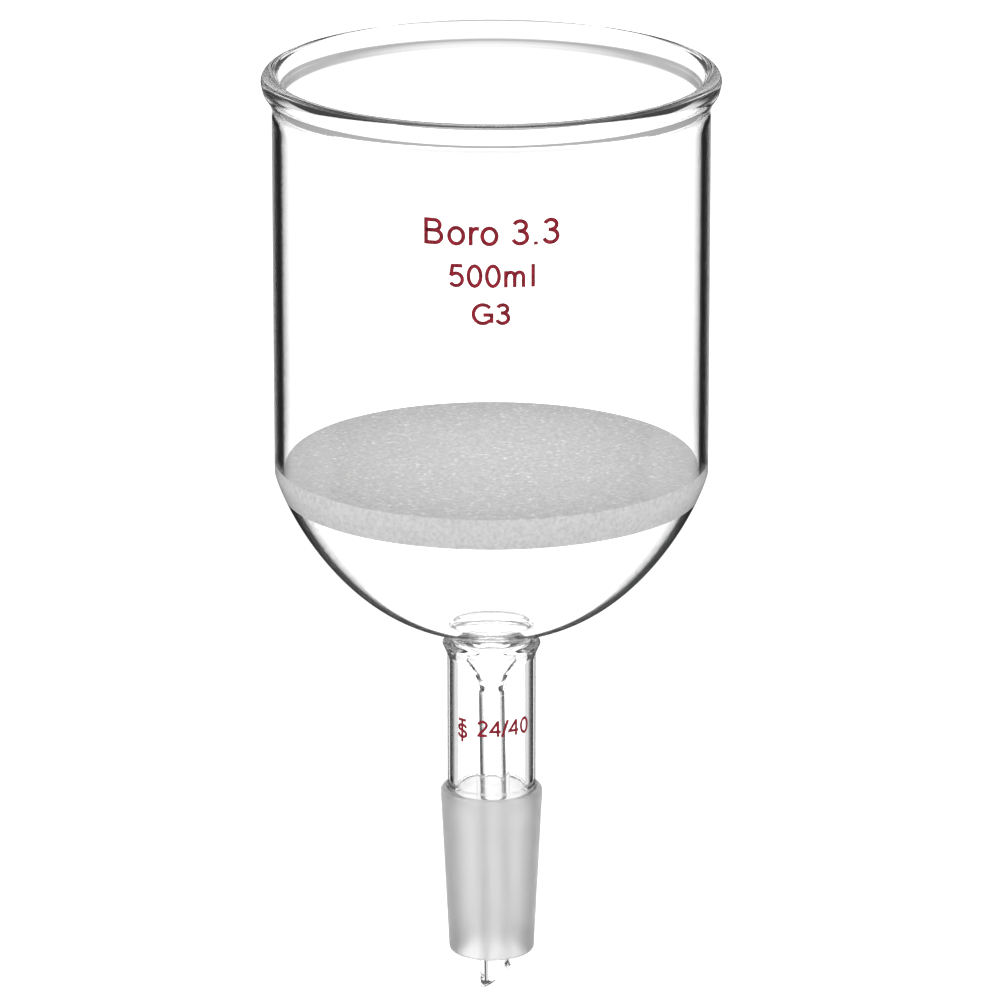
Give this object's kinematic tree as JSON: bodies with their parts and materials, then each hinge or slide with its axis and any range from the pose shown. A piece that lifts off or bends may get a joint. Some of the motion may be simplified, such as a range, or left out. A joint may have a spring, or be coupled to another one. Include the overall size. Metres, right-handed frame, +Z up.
{
  "type": "buchner funnel",
  "caption": "All-glass vacuum filter funnel: straight bowl with a rolled rim, sealed-in sintered disc, round bottom, drip tube and ground taper joint.",
  "frame": {"origin": "on the funnel's axis at the large end of its ground joint, the level at which it seats in a flask", "axes": "+Z up along the axis, from the joint to the open mouth; -Y towards the printed marking; the drip tip's long side is at -X"},
  "size_m": [0.1056, 0.1056, 0.2234],
  "materials": {
    "clear_glass": "polished",
    "ground_glass": "matte",
    "sintered_glass": "matte",
    "red_enamel": "satin"
  },
  "bodies": {
    "root": {"bowl": "clear_glass", "sintered_disc": "sintered_glass", "dome": "clear_glass", "throat_cone": "clear_glass", "drip_tube": "clear_glass", "neck_ring": "clear_glass", "joint_tube": "clear_glass", "ground_joint": "ground_glass"}
  },
  "joints": []
}
